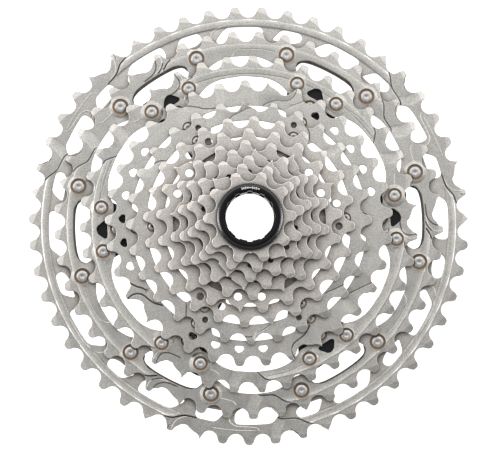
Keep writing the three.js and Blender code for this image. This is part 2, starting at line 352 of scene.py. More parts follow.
# A groove, painted dark as shade in its floor and lighter as highlights on its shoulders.
def groove(points, depth=0.2, dark=0.4, width=0.25):
    return {"curve": spline(points), "section": [
        (-2.2 * width, 0, 1.0), (-1.4 * width, 0, 1.25), (-0.6 * width, -depth, dark),
        (0.6 * width, -depth, dark), (1.4 * width, 0, 1.25), (2.2 * width, 0, 1.0)]}


def strip(points, half, tone):
    """A flat patch, painted lighter as a highlight, with a soft step along both sides."""
    return {"curve": spline(points), "section": [
        (-half - 0.3, 0, 1.0), (-half, -0.05, tone), (half, -0.05, tone), (half + 0.3, 0, 1.0)]}


def turned_by(feature, angle):
    return {**feature, "curve": feature["curve"] * np.exp(1j * math.radians(angle))}


def thrice(features):
    return [turned_by(f, 120 * k) for f in features for k in range(3)]


# ---------------------------------------------------------------- raised rims

def line_angle(line, radius):
    """The angle of a boundary line at a radius; the line goes from its outer end inwards."""
    angles = np.array([a for a, _ in line])
    radii = np.array([r for _, r in line])
    return np.interp(radius, radii[::-1], angles[::-1])


def raised_share(points, start_line, stop_line, period=120):
    """1 on the raised rim between two boundary lines, 0 in the ramp zone, with a short slope between."""
    radius = np.abs(points)
    angle = np.degrees(np.angle(points))
    start = line_angle(start_line, radius)
    length = (line_angle(stop_line, radius) - start) % period
    inside = (angle - start) % period <= length
    gap = np.full(len(points), np.inf)
    for line in (start_line, stop_line):
        for turn in range(0, 360, period):
            edge = spline([(a + turn, r) for a, r in line])
            gap = np.minimum(gap, np.abs(signed_distance(points, edge)))
    signed = np.where(inside, gap, -gap)
    return np.clip((signed + 0.05) / 0.17, 0, 1)


# ---------------------------------------------------------------- meshes

def closed_loop(vertices, edges, points):
    start = len(vertices)
    vertices.extend(points)
    count = len(points)
    edges.extend((start + i, start + (i + 1) % count) for i in range(count))
    return list(range(start, start + count))


def open_line(vertices, edges, points):
    start = len(vertices)
    vertices.extend(points)
    edges.extend((start + i, start + i + 1) for i in range(len(points) - 1))


def inset(points, width):
    """A closed outline moved towards its left by a width."""
    p = np.array(points)
    keep = np.abs(p - np.roll(p, 1)) > 0.02
    p = p[keep]
    before = p - np.roll(p, 1)
    after = np.roll(p, -1) - p
    normal = 1j * (before / np.abs(before) + after / np.abs(after))
    normal /= np.maximum(np.abs(normal), 1e-6)
    return list(p + normal * width)


def is_left_turning(points):
    p = np.array(points)
    return np.sum((p.conj() * np.roll(p, -1)).imag) > 0


def triangulate(outline, holes, lines, loops):
    """Triangles inside the outline and outside the holes, with edges along every line and loop."""
    vertices = []
    edges = []
    outline = outline if is_left_turning(outline) else outline[::-1]
    holes = [hole[::-1] if is_left_turning(hole) else hole for hole in holes]
    faces = [closed_loop(vertices, edges, outline)]
    faces += [closed_loop(vertices, edges, hole)[::-1] for hole in holes]
    for contour in [outline, *holes]:
        closed_loop(vertices, edges, inset(contour, EDGE_WIDTH))
    for loop in loops:
        closed_loop(vertices, edges, loop)
    for line in lines:
        open_line(vertices, edges, line)
    flat = [Vector((p.real, p.imag)) for p in vertices]
    points, _, triangles, _, _, origin = delaunay_2d_cdt(flat, edges, faces, 0, 1e-5)
    kept = [t for t, source in zip(triangles, origin) if source == [0]]
    used = sorted({i for t in kept for i in t})
    renumber = {old: new for new, old in enumerate(used)}
    points = np.array([complex(*points[i]) for i in used])
    kept = np.array([[renumber[i] for i in t] for t in kept])
    return points, kept


def rim_edges(triangles):
    """The directed edges that only one triangle has."""
    sides = np.concatenate([triangles[:, [0, 1]], triangles[:, [1, 2]], triangles[:, [2, 0]]])
    present = {tuple(e) for e in sides.tolist()}
    return np.array([e for e in sides.tolist() if (e[1], e[0]) not in present])


def linked(name, data):
    """A new object for some data, in the scene."""
    piece = bpy.data.objects.new(name, data)
    bpy.context.scene.collection.objects.link(piece)
    return piece


def new_object(name, vertices, faces, material, sharp=28):
    mesh = bpy.data.meshes.new(name)
    mesh.from_pydata(np.asarray(vertices, float).tolist(), [], [list(f) for f in faces])
    mesh.validate()
    mesh.update()
    mesh.shade_smooth()
    mesh.set_sharp_from_angle(angle=math.radians(sharp))
    mesh.materials.append(material)
    return linked(name, mesh)


def paint(piece, tone, brown=None):
    """Stores the painted light and shade as a tone, and the brown tint, that the materials read."""
    layer = piece.data.color_attributes.new("painted_light_and_tint", "FLOAT_COLOR", "POINT")
    values = np.ones((len(piece.data.vertices), 4), np.float32)
    values[:, 0] = tone
    values[:, 1] = 0 if brown is None else brown
    layer.data.foreach_set("color", values.ravel())


def plate(name, outline, holes, base, top_of, tone_of, lines, loops, material, edge_tone=EDGE_TONE):
    """A closed plate whose top face follows a height function, in millimetres, with eased edges."""
    points, triangles = triangulate(outline, holes, lines, loops)
    border = rim_edges(triangles)
    on_border = np.zeros(len(points), bool)
    on_border[border.ravel()] = True
    top = top_of(points) - EDGE_DROP * on_border
    low = base + EDGE_DROP * on_border
    count = len(points)
    ends = np.unique(border)
    wall_of = np.zeros(count, int)
    wall_of[ends] = np.arange(len(ends))
    wall_low = 2 * count + wall_of
    wall_high = wall_low + len(ends)
    vertices = np.concatenate([
        np.column_stack([points.real, points.imag, top]),
        np.column_stack([points.real, points.imag, low]),
        np.column_stack([points.real, points.imag, low])[ends],
        np.column_stack([points.real, points.imag, top])[ends]]) * MM
    start, stop = border[:, 0], border[:, 1]
    walls = np.column_stack([wall_high[start], wall_low[start], wall_low[stop], wall_high[stop]])
    faces = triangles.tolist() + (triangles[:, ::-1] + count).tolist() + walls.tolist()
    piece = new_object(name, vertices, faces, material, 12)
    tone, brown = tone_of(points)
    # Painted light and shade: border vertices take the edge tone, darker as shade or lighter as a highlight,
    # and the walls are painted dark and brown as shade.
    tone = np.where(on_border, tone * edge_tone, tone)
    walls_dark = np.full(2 * len(ends), PAINTED_WALL_SHADE)
    walls_brown = np.full(2 * len(ends), PAINTED_WALL_BROWN)
    paint(piece, np.concatenate([tone, np.ones(count), walls_dark]),
          np.concatenate([brown, np.zeros(count), walls_brown]))
    return piece


def lathe(name, profile, steps, material, sharp=35, tone=None, brown=None):
    """A body turned around Z from a closed (radius, height) profile in millimetres; radius 0 is a pole."""
    vertices, faces, rows, tones, browns = [], [], [], [], []
    for i, (r, z) in enumerate(profile):
        count = 1 if r < 1e-6 else steps
        rows.append(list(range(len(vertices), len(vertices) + count)))
        for k in range(count):
            p = polar(k * 360 / steps, r)
            vertices.append((p.real * MM, p.imag * MM, z * MM))
            tones.append(1.0 if tone is None else tone[i])
            browns.append(0.0 if brown is None else brown[i])
    pairs = list(zip(rows, rows[1:] + [rows[0]]))
    if len(rows[0]) == 1 and len(rows[-1]) == 1:
        pairs = pairs[:-1]
    for a, b in pairs:
        for k in range(steps):
            j = (k + 1) % steps
            corners = [a[k % len(a)], a[j % len(a)], b[j % len(b)], b[k % len(b)]]
            face = list(dict.fromkeys(corners))
            if len(face) > 2:
                faces.append(face)
    piece = new_object(name, vertices, faces, material, sharp)
    paint(piece, np.array(tones), np.array(browns))
    return piece


# ---------------------------------------------------------------- materials

class Nodes:
    """A node tree, with short calls for the nodes used here."""

    def __init__(self, tree):
        self.tree = tree

    def add(self, kind, **settings):
        node = self.tree.nodes.new(kind)
        for key, value in settings.items():
            setattr(node, key, value)
        return node

    def link(self, source, target):
        self.tree.links.new(source, target)

    def ranged(self, value, low, high, to_low, to_high, **settings):
        node = self.add("ShaderNodeMapRange", **settings)
        for key, number in (("From Min", low), ("From Max", high), ("To Min", to_low), ("To Max", to_high)):
            node.inputs[key].default_value = number
        self.link(value, node.inputs["Value"])
        return node.outputs["Result"]

    def multiplied(self, a, b):
        node = self.add("ShaderNodeMath", operation="MULTIPLY")
        self.link(a, node.inputs[0])
        self.link(b, node.inputs[1])
        return node.outputs[0]


class Surface(Nodes):
    """A material and its node tree."""

    def __init__(self, name):
        self.material = bpy.data.materials.new(name)
        self.material.use_nodes = True
        super().__init__(self.material.node_tree)
        self.shader = self.tree.nodes["Principled BSDF"]
        self.position = self.add("ShaderNodeTexCoord").outputs["Object"]

    def noise(self, scale, detail=3.0, roughness=0.55):
        node = self.add("ShaderNodeTexNoise")
        node.inputs["Scale"].default_value = scale
        node.inputs["Detail"].default_value = detail
        node.inputs["Roughness"].default_value = roughness
        self.link(self.position, node.inputs["Vector"])
        return node.outputs["Fac"]

    def mix(self, share, a, b):
        node = self.add("ShaderNodeMix", data_type="RGBA")
        for socket, value in ((node.inputs[0], share), (node.inputs[6], a), (node.inputs[7], b)):
            if isinstance(value, tuple):
                socket.default_value = (*value, 1)
            else:
                self.link(value, socket)
        return node.outputs[2]

    def bump(self, height, strength, distance):
        node = self.add("ShaderNodeBump")
        node.inputs["Strength"].default_value = strength
        node.inputs["Distance"].default_value = distance
        self.link(height, node.inputs["Height"])
        self.link(node.outputs["Normal"], self.shader.inputs["Normal"])


def plated_metal(name, colour, low_rough, high_rough, grain=0.12, reach=0.0040, painted_shade_range=(0.26, 0.82)):
    """Satin nickel plate: cloudy colour, blasted grain, painted shade in the hollows, and the painted light,
    shade and brown tint from the stored attribute.
    """
    m = Surface(name)
    m.shader.inputs["Metallic"].default_value = 0.9
    painted_light_and_tint = m.add("ShaderNodeAttribute", attribute_name="painted_light_and_tint")
    split = m.add("ShaderNodeSeparateColor")
    m.link(painted_light_and_tint.outputs["Color"], split.inputs["Color"])
    cloud = m.ranged(m.noise(110, 5, 0.65), 0.3, 0.7, 0.90, 1.09)
    speck = m.ranged(m.noise(1500, 2, 0.7), 0.35, 0.65, 0.83, 1.17)
    # The tone carries painted light and shade from the stored attribute, times random cloud and speck.
    tone = m.multiplied(m.multiplied(cloud, speck), split.outputs[0])
    base = m.mix(split.outputs[1], colour, (0.26, 0.175, 0.11))
    # Painted shade: the colour darkens to a dark brown where ambient occlusion finds surfaces within reach.
    hollow = m.add("ShaderNodeAmbientOcclusion", samples=6)
    hollow.inputs["Distance"].default_value = reach
    open_share = m.ranged(hollow.outputs["AO"], *painted_shade_range, 0.0, 1.0)
    base_with_painted_shade = m.mix(open_share, (0.07, 0.05, 0.035), base)
    shaded = m.add("ShaderNodeVectorMath", operation="SCALE")
    m.link(base_with_painted_shade, shaded.inputs[0])
    m.link(tone, shaded.inputs["Scale"])
    m.link(shaded.outputs["Vector"], m.shader.inputs["Base Color"])
    smear = m.noise(260, 4, 0.6)
    m.link(m.ranged(smear, 0.3, 0.7, low_rough, high_rough), m.shader.inputs["Roughness"])
    m.bump(m.noise(2600, 3, 0.7), grain, 0.00004)
    return m.material


def anodised(name, colour, low_rough, high_rough, metallic, specular=0.5):
    """Dark anodised aluminium with a fine grain and paler rubbed patches."""
    m = Surface(name)
    m.shader.inputs["Specular IOR Level"].default_value = specular
    m.shader.inputs["Metallic"].default_value = metallic
    wear = m.ranged(m.noise(420, 5, 0.65), 0.55, 0.75, 0.0, 0.25)
    lighter = tuple(min(1.0, c * 1.8 + 0.006) for c in colour)
    m.link(m.mix(wear, colour, lighter), m.shader.inputs["Base Color"])
    m.link(m.ranged(m.noise(300, 4), 0.3, 0.7, low_rough, high_rough), m.shader.inputs["Roughness"])
    m.bump(m.noise(3500, 3, 0.7), 0.15, 0.00003)
    return m.material


NICKEL = plated_metal("nickel_plate", (0.745, 0.73, 0.70), 0.28, 0.42)
# The small sprockets' plate has wider and stronger painted shade in the hollows.
INNER_NICKEL = plated_metal("inner_nickel_plate", (0.82, 0.785, 0.745), 0.34, 0.48, 0.14, 0.0055,
                            (0.20, 0.88))
RIVET_METAL = plated_metal("rivet_metal", (0.80, 0.80, 0.79), 0.24, 0.36, 0.06)
SPACER_METAL = plated_metal("spacer_metal", (0.20, 0.17, 0.14), 0.30, 0.44)
WASHER_METAL = plated_metal("washer_metal", (0.60, 0.58, 0.55), 0.28, 0.40)
ARM_BLACK = anodised("arm_black", (0.012, 0.012, 0.018), 0.35, 0.5, 0.3)
RING_BLACK = anodised("ring_black", (0.003, 0.003, 0.0035), 0.22, 0.34, 0.0, 0.22)
CHAMFER_BLACK = anodised("chamfer_black", (0.003, 0.004, 0.006), 0.15, 0.20, 0.0, 0.4)
MARK_WHITE = anodised("mark_white", (0.90, 0.90, 0.90), 0.4, 0.55, 0.0)


# ---------------------------------------------------------------- the twelve sprockets

# Each sprocket's first tooth, its special teeth by number and, on the three largest, the lines
# between which its raised rim lies and the rim's cross-section. A pattern may repeat and drift a little.
# A rim's tones are painted light and shade: highlights and shade in bands across it, brightest along the
# crest.
SPROCKETS = {
    51: {"phase": 1.87, "repeat": 17,
         "styles": {0: "triangle", 1: "twisted", 2: "fin", 5: "wide", 6: "step", 7: "triangle"},
         "start": [(47.9, 99.4), (46.4, 97.4), (45.0, 95.6), (43.5, 94.3), (41.0, 93.7), (39.3, 93.0),
                   (37.8, 90.4)],
         "stop": [(126.0, 99.4), (128.3, 98.1), (129.8, 96.6), (131.2, 95.3), (133.0, 94.9), (135.0, 94.5)],
         "rim": {"radii": [93.8, 94.6, 95.2, 96.4, 97.1, 97.8, 98.4],
                 "heights": [0.30, 0.34, 0.60, 0.66, 0.70, 0.72, 0.0],
                 "tones": [1.06, 0.62, 0.86, 0.98, 1.20, 1.32, 1.0]}},
    45: {"phase": -0.4, "repeat": 15, "drift": -0.9,
         "styles": {0: "twisted", 1: "fin", 4: "wide", 5: "step", 6: "triangle"},
         "start": [(43.4, 87.1), (41.8, 85.7), (40.4, 84.1), (39.0, 82.3), (37.8, 81.6), (33.8, 81.1)],
         "stop": [(115.4, 87.2), (117.0, 85.6), (118.7, 83.8), (120.4, 83.0)],
         "rim": {"radii": [80.0, 83.0, 84.4, 85.2, 85.8, 86.3],
                 "heights": [0.60, 0.66, 0.70, 0.74, 0.78, 0.0],
                 "tones": [0.90, 0.84, 0.96, 1.18, 1.34, 1.0]}},
    39: {"phase": 6.6, "repeat": 13, "drift": -1.6,
         "styles": {12: "twisted", 0: "fin", 2: "wide", 3: "step"},
         "start": [(38.0, 75.1), (36.2, 74.0), (34.6, 72.2), (32.8, 70.0)],
         "stop": [(110.8, 75.0), (113.0, 73.9), (114.8, 72.6), (117.5, 71.0)],
         "rim": {"radii": [66.0, 70.4, 71.0, 71.25, 71.5, 73.2, 73.9, 74.4],
                 "heights": [0.45, 0.5, 0.5, 0.5, 0.62, 0.74, 0.8, 0.0],
                 "tones": [1.0, 0.95, 1.15, 0.60, 0.92, 1.08, 1.38, 1.0]}},
    33: {"phase": 4.3,
         "styles": {19: "twisted", 20: "fin", 26: "twisted", 27: "fin", 10: "step", 30: "step",
                    6: "twisted", 7: "fin"}},
    28: {"phase": 1.1,
         "styles": {3: "wide", 4: "step", 6: "twisted", 7: "fin", 21: "twisted", 25: "step", 11: "step",
                    18: "step"}},
    24: {"phase": 12.4,
         "styles": {1: "wide", 2: "triangle", 9: "wide", 10: "triangle", 17: "wide", 18: "triangle"}},
    21: {"phase": 4.6,
         "styles": {1: "fin", 6: "step", 8: "fin", 13: "step", 15: "fin", 20: "step"}},
    18: {"phase": 12.9, "styles": {2: "fin", 8: "fin", 14: "fin"}},
    16: {"phase": 14.5, "styles": {3: "fin", 11: "fin"}},
    14: {"phase": 13.7, "styles": {2: "fin", 9: "fin"}},
    12: {"phase": 8.7, "styles": {4: "fin", 10: "fin"}},
    10: {"phase": 1.8},
}


def web(teeth):
    """The holes of a sprocket's web."""
    if teeth == 51:
        return windows_51()
    if teeth == 45:
        return windows_45()
    if teeth == 39:
        return windows_39()
    seat = splined_bore(FREEHUB_R)
    if teeth == 33:
        angles = [*times(5, 14.6, 10.91), *times(6, 145.5, 10.91), *times(4, 243.7, 10.91)]
        return [seat, *arm_windows(55.8, 8.4, 5.2), *drop_holes(angles, 59.9, 2.1)]
    if teeth == 28:
        return [seat, *arm_windows(48.4, 8.2, 5.2), *round_holes([65.4, 118.3, 245.9, 297.5], 50.6, 1.45)]
    if teeth == 24:
        angles = [12, 117, 132, 237, 252, 357]
        return [seat, *arm_windows(40.2, 7.6, 5.4), *round_holes(angles, 42.2, 1.8)]
    if teeth == 21:
        return [seat, *sector_windows(arms(), 6.6, 30, 35.8),
                *round_holes([*times(3, 21.5, 120), *times(3, 39.2, 120)], 36.2, 1.9)]
    if teeth == 18:
        return [seat, *sector_windows(times(6, 55, 60), 22, 21.5, 29.5)]
    if teeth == 16:
        return [seat, *sector_windows(times(6, 25, 60), 20, 21.5, 25.4)]
    if teeth == 14:
        return [seat, *round_holes(times(14, 13.7, 360 / 14), 21.7, 1.3)]
    return [seat if teeth == 12 else circle(0, END_BORE_R, 96)]


# A ramp's long edge on the 33-tooth sprocket, which has it twice
LONG_EDGE = [(0.3, 67.5), (0.0, 65.4), (0.3, 63.2), (1.3, 61.4), (2.9, 60.3), (5.6, 59.6), (8.1, 58.8),
             (10.1, 57.6), (11.9, 56.4)]


def long_edge(angle):
    return [(a + angle, r) for a, r in LONG_EDGE]


FEATURES = {
    51: thrice([
        groove([(6.2, 99.0), (8.3, 98.1), (9.8, 96.6), (11.2, 95.3), (13.0, 94.9), (14.8, 94.6)],
               0.2, 0.25, 0.35),
        ridge([(7.4, 97.8), (9.0, 96.2), (10.4, 94.9), (12.0, 94.2)], 0.08, 1.22, 0.25),
        ridge([(9.3, 103.8), (9.4, 100.4), (10.2, 97.8), (11.6, 96.0), (13.4, 95.2)]),
        groove([(8.3, 104.2), (8.35, 101.8)], 0.2, 0.45, 0.22),
        ridge([(20.4, 97.7), (26, 97.7), (31.4, 97.7)], 0.08, 1.2, 0.35),
        ridge([(32.9, 97.6), (32.2, 96.4), (29.5, 95.9), (26.8, 95.8), (25.2, 94.8), (24.4, 93.2),
               (24.6, 91.0), (25.6, 89.2)], 0.15, 1.3, 0.35),
        strip([(37.3, 104.2), (37.6, 98.5), (38.6, 95), (39.3, 93)], 2.1, 1.25),
        groove([(41.6, 98.9), (42.6, 100.2), (43.3, 101.7), (43.8, 103.6)], 0.15, 0.4, 0.3),
        groove([(47.7, 99.0), (46.3, 97.3), (45.0, 95.5), (43.5, 94.2), (41.0, 93.6), (39.3, 92.9),
                (38.3, 91.8), (37.8, 90.6)], 0.1, 0.25, 0.35),
        ridge([(101.3, 90.5), (101.4, 91.6), (100.5, 93.5), (98.5, 95.1), (95.0, 95.9), (88.5, 95.8)],
              0.12, 1.22, 0.3),
    ]),
    45: thrice([
        groove([(-4.5, 86.9), (-3.0, 85.6), (-1.3, 83.9)], 0.2, 0.3, 0.35),
        ridge([(-2.0, 91.2), (-2.0, 88.3), (-1.2, 86.2), (0.5, 84.6), (3.0, 83.9)]),
        groove([(0.2, 91.8), (-0.1, 89.3), (0.3, 87.2), (1.6, 85.2), (3.2, 84.3), (6.0, 84.0)],
               0.25, 0.35, 0.3),
        groove([(-1.8, 86.6), (-0.6, 84.9), (0.9, 83.6)], 0.25, 0.4, 0.3),
        ridge([(20.9, 83.6), (23.0, 83.9), (25.0, 84.5), (25.9, 85.8)], 0.1, 1.2, 0.3),
        strip([(31.4, 92.0), (31.3, 87.4), (31.5, 85.2), (32.4, 82.5), (33.0, 80.6)], 2.5, 1.25),
        groove([(36.9, 86.9), (38.0, 88.0), (38.7, 89.5), (39.2, 91.2)], 0.15, 0.5, 0.3),
        groove([(43.2, 86.8), (41.8, 85.7), (40.4, 84.1), (39.0, 82.3), (37.8, 81.6), (36.0, 81.4),
                (33.8, 81.2)], 0.1, 0.35, 0.35),
        groove([(81.5, 83.1), (86.0, 83.7), (92.5, 83.6)], 0.06, 0.8, 0.25),
        ridge([(93.5, 83.2), (94.8, 82.0), (95.6, 80.4)], 0.1, 1.3, 0.3),
    ]),
    39: thrice([
        groove([(-9.0, 74.8), (-7.0, 73.9), (-5.2, 72.6), (-3.5, 71.6)], 0.2, 0.35, 0.3),
        ridge([(-5.0, 78.5), (-5.2, 75.5), (-4.4, 73.3), (-2.5, 71.9)]),
        groove([(-3.6, 79.0), (-4.0, 75.6), (-3.2, 73.1), (-1.0, 71.7), (3.0, 71.2)], 0.25, 0.4, 0.3),
        ridge([(15.4, 71.4), (17.2, 71.9), (18.8, 72.8)], 0.1, 1.2, 0.3),
        strip([(24.3, 79.4), (24.6, 75.2), (25.4, 72.3), (26.3, 70.3)], 2.3, 1.2),
        groove([(30.2, 75.0), (31.4, 76.2), (32.3, 77.6), (32.9, 79.4)], 0.15, 0.4, 0.3),
        groove([(37.8, 74.9), (36.2, 74.0), (34.6, 72.2), (33.0, 70.2)], 0.1, 0.35, 0.35),
        groove([(36.2, 72.9), (40.0, 72.6), (45.0, 72.4), (52.0, 71.3)], 0.08, 0.72, 0.25),
    ]),
    33: [
        seam([(70.3, 67.2), (70.2, 65.2), (70.6, 63.2), (71.9, 61.2), (74.3, 60.0), (77.3, 59.5),
              (79.7, 58.4), (81.7, 57.2), (83.2, 56.0)], 0.3, 2.0, 0.4),
        groove([(65.3, 64.2), (67.2, 61.8), (69.6, 59.6)], 0.1, 0.6, 0.3),
        strip([(102.5, 67.8), (102.8, 62), (104, 56.6)], 1.8, 1.12),
        seam([(119.3, 64.8), (118.2, 63.2), (116.5, 62.1), (113.6, 60.1), (111.6, 58.5), (108.7, 57.5),
              (105.7, 56.9)], 0.3, 2.0, 0.4),
        groove([(206.2, 63.2), (207.4, 62.6), (208.7, 61.7), (210.0, 60.6), (211.5, 59.1), (213.0, 58.2)],
               0.25, 0.18, 0.40),
        groove(long_edge(211.9), 0.25, 0.18, 0.42),
        groove(long_edge(288.3), 0.25, 0.30, 0.35),
        strip([(320, 67.8), (320.4, 62), (321.6, 56.6)], 1.8, 1.12),
        seam([(335.9, 66.2), (331.0, 62.0), (326.0, 58.6), (321.5, 56.4)]),
    ],
    28: [
        strip([(39.9, 57.6), (40.4, 52), (41.8, 49.0)], 1.7, 1.12),
        seam([(60.3, 53.2), (57.6, 52.3), (55.6, 50.8), (54.2, 49.0)], 0.3, 2.0, 0.4),
        seam([(82.6, 55.4), (85.2, 54.5), (88.0, 54.3), (91.0, 53.9), (93.5, 52.7), (96.0, 51.8),
              (99.0, 50.8), (101.0, 49.5)], 0.3, 2.0, 0.4),
        seam([(151.5, 54.4), (149.2, 53.4), (147.5, 52.5), (145.5, 51.4), (143.8, 49.6)], 0.3, 2.0, 0.4),
        seam([(237.8, 55.4), (235.4, 52.6), (233.0, 49.4)]),
        groove([(267.6, 54.0), (269.5, 54.3), (271.6, 54.0)], 0.2, 0.35, 0.3),
        ridge([(272.6, 58.0), (272.7, 55.0), (273.4, 52.8)], 0.1, 1.3, 0.4),
        groove([(275.0, 52.2), (278.5, 50.8), (282.0, 49.2)], 0.1, 0.6, 0.3),
        seam([(329.7, 55.4), (323.0, 51.8), (317.0, 49.2)]),
    ],
}


def boss_share(points, rivets):
    """1 on the raised boss round a rivet, 0 away from it, with a slope between."""
    share = np.zeros(len(points))
    for centre in rivets:
        inside = BOSS_R + BOSS_SLOPE - np.abs(points - centre)
        share = np.maximum(share, np.clip(inside / BOSS_SLOPE, 0, 1))
    return share


DEEPEST_FACET = 1.2


def tooth_facet(style, teeth):
    return SMALL_FACET if style == "normal" and teeth < 28 else FACETS[style]


def build_sprocket(teeth, sprocket):
    """A sprocket's plate with its teeth, holes, rim, bosses, ramps, and painted light and shade."""
    name = f"sprocket_{teeth}t"
    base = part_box(name)[0].z / MM
    spec = {**sprocket, "teeth": teeth}
    pitch_r = pitch_radius(teeth)
    outline = tooth_outline(spec)
    features = FEATURES.get(teeth, [])
    lines = [shifted(f["curve"], offset) for f in features for offset, _, _ in f["section"]]
    facets = np.array([tooth_facet(tooth_style(spec, k), teeth) for k in range(teeth)])
    angles = tooth_angles(spec)
    for k in range(teeth):
        start, lean, _ = facets[k]
        lines.append([offset_by(angles[k], pitch_r + start + lean * u, u) for u in np.linspace(-5.0, 5.0, 5)])
    loops = []
    rim = sprocket.get("rim")
    bosses = []
    if rim:
        loops += [circle(0, r, 300) for r in rim["radii"]]
        lines += [shifted(spline([(a + 120 * k, r) for a, r in sprocket[end]]), d)
                  for end in ("start", "stop") for k in range(3) for d in (-0.05, 0.12)]
        if teeth == 45:
            bosses = [polar(a, OUTER_RIVET["r"]) for a in outer_rivets()]
        if teeth == 39:
            bosses = [polar(a, INNER_RIVET["r"]) for a in inner_rivets()]
        loops += [circle(c, r, 40) for c in bosses for r in (BOSS_R, BOSS_R + BOSS_SLOPE)]

    def top_of(points):
        top = np.full(len(points), base + PLATE)
        if rim:
            share = raised_share(points, sprocket["start"], sprocket["stop"])
            lift = np.interp(np.abs(points), rim["radii"], rim["heights"]) * share
            if bosses:
                lift = np.maximum(lift, (RIM_PLATE - PLATE) * boss_share(points, bosses))
            top += lift
        apart = (np.degrees(np.angle(points))[:, None] - angles[None, :] + 180) % 360 - 180
        k = np.argmin(np.abs(apart), axis=1)
        local = points * np.exp(-1j * np.radians(angles[k]))
        above, side = local.real - pitch_r, local.imag
        start, lean, slope = facets[k].T
        past = np.maximum(above - start - lean * side, 0) / np.sqrt(1 + lean ** 2)
        top -= np.minimum(slope * past, DEEPEST_FACET)
        for f in features:
            d = signed_distance(points, f["curve"])
            offsets, heights, _ = np.array(f["section"]).T
            top += np.interp(d, offsets, heights, left=0, right=0)
        return top

    def tone_of(points):
        radius = np.abs(points)
        tone = np.ones(len(points))
        brown = np.zeros(len(points))
        # Painted highlight along the rim's crest and painted shade below it, and painted shade in the ramp
        # zones.
        if rim:
            share = raised_share(points, sprocket["start"], sprocket["stop"])
            tone += share * (np.interp(radius, rim["radii"], rim["tones"]) - 1)
            in_ramp = (1 - share) * (radius > rim["radii"][0]) * (radius < pitch_r - 1.5)
            tone -= RAMP_SHADE * in_ramp
        # On the 51-tooth sprocket: browner below the rim's inner edge, and painted shade, darker and browner,
        # on the inner band that lies in shadow under the 45-tooth sprocket.
        if teeth == 51:
            brown += 0.10 * np.clip((94.4 - radius) / 0.6, 0, 1)
            inner = np.clip((84.2 - radius) / 0.8, 0, 1)
            tone *= 1 - 0.65 * inner
            brown += 0.25 * inner
        # Painted shade and highlights along the surface features.
        for f in features:
            d = signed_distance(points, f["curve"])
            offsets, _, tones = np.array(f["section"]).T
            tone *= np.interp(d, offsets, tones, left=1, right=1)
        return tone, brown

    material, edge_tone = (NICKEL, EDGE_TONE) if teeth > 24 else (INNER_NICKEL, INNER_EDGE_TONE)
    piece = plate(f"plate_{teeth}t", outline, web(teeth), base, top_of, tone_of, lines, loops, material,
                  edge_tone)
    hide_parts(name)
    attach(piece, "stack")


for teeth, sprocket in SPROCKETS.items():
    build_sprocket(teeth, sprocket)


# ---------------------------------------------------------------- rivets

HEAD_RISE = 0.55


def rivet(name, node, head_r, ring_r, shank_r):
    """A domed head with a centre dimple in a brown ring, on its shank, with painted shade in the dimple and a
    painted highlight on the outer lip.
    """
    low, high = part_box(node)
    length = (high.z - low.z) / MM - HEAD_RISE
    s = head_r / 2.8
    profile = [(0, 0.30), (0.5 * s, 0.33), (0.9 * s, 0.48), (1.3 * s, HEAD_RISE), (1.9 * s, 0.48),
               (2.4 * s, 0.34), (head_r, 0.12), (head_r + 0.06, 0.04), (ring_r - 0.1, 0.02), (ring_r, 0.06),
               (ring_r + 0.08, 0.10), (ring_r + 0.20, 0.10), (ring_r + 0.30, 0.02), (ring_r + 0.28, -0.02),
               (shank_r, -0.02), (shank_r, -length), (0, -length)]
    # Painted shade in the centre dimple and a painted highlight on the outer lip; the ring round the head is
    # brown.
    tone = [0.72, 0.76, 0.88, 0.92, 0.95, 0.92, 0.9, 0.9, 1.0, 1.05, 1.1, 1.2, 1.1, 1, 1, 1, 1]
    brown = [0.0, 0.0, 0, 0, 0, 0.1, 0.85, 0.95, 0.95, 0.9, 0.5, 0, 0, 0, 0, 0, 0]
    piece = lathe(name, profile, 40, RIVET_METAL, 40, tone, brown)
    piece.location = ((low.x + high.x) / 2, (low.y + high.y) / 2, high.z - HEAD_RISE * MM)
    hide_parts(node)
    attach(piece, "stack")


for node in sorted(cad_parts):
    if node.startswith("outer_rivet"):
        rivet(f"head_{node}", node, 2.8, 3.85, 1.9)
    elif node.startswith("inner_rivet"):
        rivet(f"head_{node}", node, 2.6, 3.5, 1.9)
    elif "_rivet_" in node:
        rivet(f"head_{node}", node, 2.1, 2.75, 1.4)


# The row of rivets that the 33-tooth sprocket half hides has no CAD nodes of its own.
inner_head = bpy.data.objects["head_inner_rivet_01"]
for k, a in enumerate(arms()):
    hidden = linked(f"head_under_rivet_{k + 1:02d}", inner_head.data)
    place = polar(a, UNDER_RIVET_R)
    hidden.location = (place.real * MM, place.imag * MM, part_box("sprocket_39t")[1].z)
    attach(hidden, "stack")


# ---------------------------------------------------------------- lock ring, washer, spacers, carrier

def tube(name, inner_r, outer_r, low, high, material, ease=0.15):
    """A plain tube with eased edges, between two heights in millimetres."""
    profile = [(inner_r + ease, low), (outer_r - ease, low), (outer_r, low + ease), (outer_r, high - ease),
               (outer_r - ease, high), (inner_r + ease, high), (inner_r, high - ease), (inner_r, low + ease)]
    return lathe(name, profile, 96, material)


for node in sorted(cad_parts):
    if node.startswith("spacer_"):
        low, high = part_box(node)
        last = node == "spacer_12_10"
        inner_r = END_BORE_R + 1.0 if last else FREEHUB_R
        piece = tube(f"turned_{node}", inner_r, high.x / MM, low.z / MM, high.z / MM, SPACER_METAL)
        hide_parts(node)
        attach(piece, "stack")

low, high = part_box("lock_washer")
washer = tube("thrust_washer", END_BORE_R, high.x / MM, low.z / MM, high.z / MM, WASHER_METAL, 0.1)
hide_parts("lock_washer")
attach(washer, "washer")

